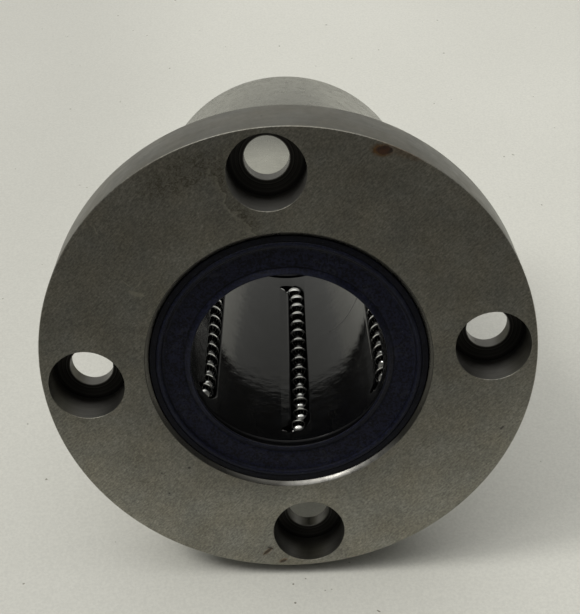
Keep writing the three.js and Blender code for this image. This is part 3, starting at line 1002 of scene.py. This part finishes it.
def curved_flow_mark(n, grain):
    """The pale curve on the right of the bore's floor: y as a parabola over x."""
    vertex_x, vertex_y, bend = 5.5, 23.2, 0.21
    from_vertex = n.math("SUBTRACT", n.x, vertex_x)
    curve = n.math("MULTIPLY_ADD", n.times(from_vertex, from_vertex), bend, vertex_y)
    unsteady_y = n.math("ADD", n.y, n.swing(grain, -0.15, 0.15))
    line = n.ramp(n.distance(unsteady_y, curve), (0.15, 1.0), (0.55, 0.0))
    on_floor_side = n.times(n.math("LESS_THAN", n.z, 0.0), n.between(n.x, 2.0, 9.9))
    strong_part = n.ramp(n.times(n.x, 0.1), (0.3, 0.25), (0.6, 1.0))
    return n.times(line, on_floor_side, strong_part)


def black_resin():
    """The moulded retainer: glossy black, a little wavy, scuffed by the shaft, dusty low at the front."""
    n = Finish("black_resin")
    waves = n.noise(n.place(n.where, (0.35, 0.16, 0.35)), 1.0, 2)
    grain = n.noise(n.where, 6.0, 3)
    scuffs = n.noise(n.place(n.where, (5.0, 0.25, 5.0)), 1.0, 4, 0.7)
    flow_mark = curved_flow_mark(n, grain)
    patches = n.ramp(n.noise(n.where, 0.5, 5, 0.65), (0.49, 0.0), (0.58, 1.0))
    dusty = n.times(patches, n.near(n.y, 6.0, 9.0), n.math("LESS_THAN", n.z, -5.0))
    colour = n.mix(n.ramp(scuffs, (0.55, 0.0), (0.8, 1.0)), BARE_RESIN, SCUFFED_RESIN)
    colour = n.mix(dusty, colour, RESIN_DUST)
    colour = n.mix(n.times(flow_mark, 0.6), colour, RESIN_FLOW)

    in_slot = n.math("GREATER_THAN", n.radius, RETAINER_BORE_RADIUS / MM + 0.04)
    roughness = n.math("ADD", n.swing(scuffs, 0.10, 0.17), n.times(flow_mark, 0.18))
    roughness = n.math("ADD", roughness, n.times(in_slot, 0.45))

    peel = n.noise(n.where, 0.6, 3, 0.6)
    towards_floor = n.math("MULTIPLY_ADD", n.z, -0.16, -0.3, clamp=True)
    near_the_front = n.math("MULTIPLY_ADD", n.y, -0.125, 2.1, clamp=True)
    uneven = n.times(towards_floor, near_the_front)
    raised = n.math("MULTIPLY_ADD", grain, 0.3, n.times(flow_mark, 0.3))
    height = n.math("MULTIPLY_ADD", waves, 4.0, raised)
    height = n.math("MULTIPLY_ADD", peel, n.math("MULTIPLY_ADD", uneven, 3.6, 0.8), height)
    return n.done(height, 0.012, Base_Color=colour, Roughness=roughness, IOR=1.38)


DARK_RUBBER, BLOOMED_RUBBER = (0.0031, 0.0038, 0.0102), (0.0052, 0.0060, 0.0155)
# the painted highlight colour for the bead and lip, beside the scratch colour
RUBBER_SCRATCH, RUBBER_PAINTED_HIGHLIGHT = (0.022, 0.024, 0.033), (0.014, 0.016, 0.028)
# the painted shade colour for the grooves and outer rim, beside the dust colour
RUBBER_PAINTED_SHADE, RUBBER_DUST = (0.0008, 0.0009, 0.0016), (0.10, 0.11, 0.13)


def seal_rubber():
    """Nitrile rubber, blue-black: mottled, with marks round the bore, faint scratches and specks of
    dust; painted shade makes it nearly black at its outer rim and in its creases, painted highlights
    lighten its bead and lip, and it is smoother on the lip."""
    n = Finish("seal_rubber")
    outer_groove, bead, inner_groove, crease, lip_edge = 16.62, 16.25, 15.86, 13.1, 12.5
    grain = n.noise(n.where, 9.0, 3, 0.7)
    bloom = n.noise(n.where, 0.35, 4)
    round_marks = n.noise(n.add("ShaderNodeCombineXYZ", X=n.times(n.radius, 2.6)).outputs[0], 1.0, 3)
    colour = n.mix(bloom, DARK_RUBBER, BLOOMED_RUBBER)
    colour = n.shade(colour, n.swing(round_marks, 0.78, 1.25))
    colour = n.shade(colour, n.sharp_swing(n.noise(n.where, 3.4, 3, 0.7), 0.3, 1.9))
    colour = n.mix(n.times(n.hairlines(0.8, 0.045, 0.50), 0.45), colour, RUBBER_SCRATCH)

    # painted highlight: the bead's crest and the lip's edge are painted lighter, as if they caught the
    # light
    painted_highlight_crests = n.most(n.near(n.radius, bead, 0.28), n.times(n.near(n.radius, lip_edge, 0.35), 0.8))
    colour = n.mix(n.times(painted_highlight_crests, n.swing(bloom, 0.25, 0.6)), colour, RUBBER_PAINTED_HIGHLIGHT)
    # painted shade: the grooves, the crease and the outer rim are painted nearly black
    painted_shade_grooves = n.most(
        n.near(n.radius, outer_groove, 0.09),
        n.near(n.radius, inner_groove, 0.10),
        n.near(n.radius, crease, 0.09),
    )
    outer_rim = n.math("GREATER_THAN", n.radius, 16.55)
    rubber_painted_shade = n.most(n.times(painted_shade_grooves, 0.85), n.times(outer_rim, 0.65))
    colour = n.mix(rubber_painted_shade, colour, RUBBER_PAINTED_SHADE)
    colour = n.mix(n.times(n.pits(1.6, 0.12, 0.16), 0.35), colour, RUBBER_DUST)

    lip = n.math("LESS_THAN", n.radius, 13.05)
    roughness = n.math("SUBTRACT", n.swing(grain, 0.44, 0.58), n.times(lip, 0.14))
    height = n.math("MULTIPLY_ADD", round_marks, 0.5, grain)
    return n.done(height, 0.013, Base_Color=colour, Roughness=roughness, Specular_IOR_Level=0.17)


# ---------------------------------------------------------------- the whole bushing

sleeve_metal = ground_steel()
ring_metal = ring_steel()
ball_metal = ball_steel()
resin = black_resin()
rubber = seal_rubber()

make_sleeve(sleeve_metal)
make_retainer(resin)
make_end("front", -1, ring_metal, rubber)
make_end("rear", 1, ring_metal, rubber)
for number in range(1, CIRCUITS + 1):
    make_circuit(number, ball_metal)
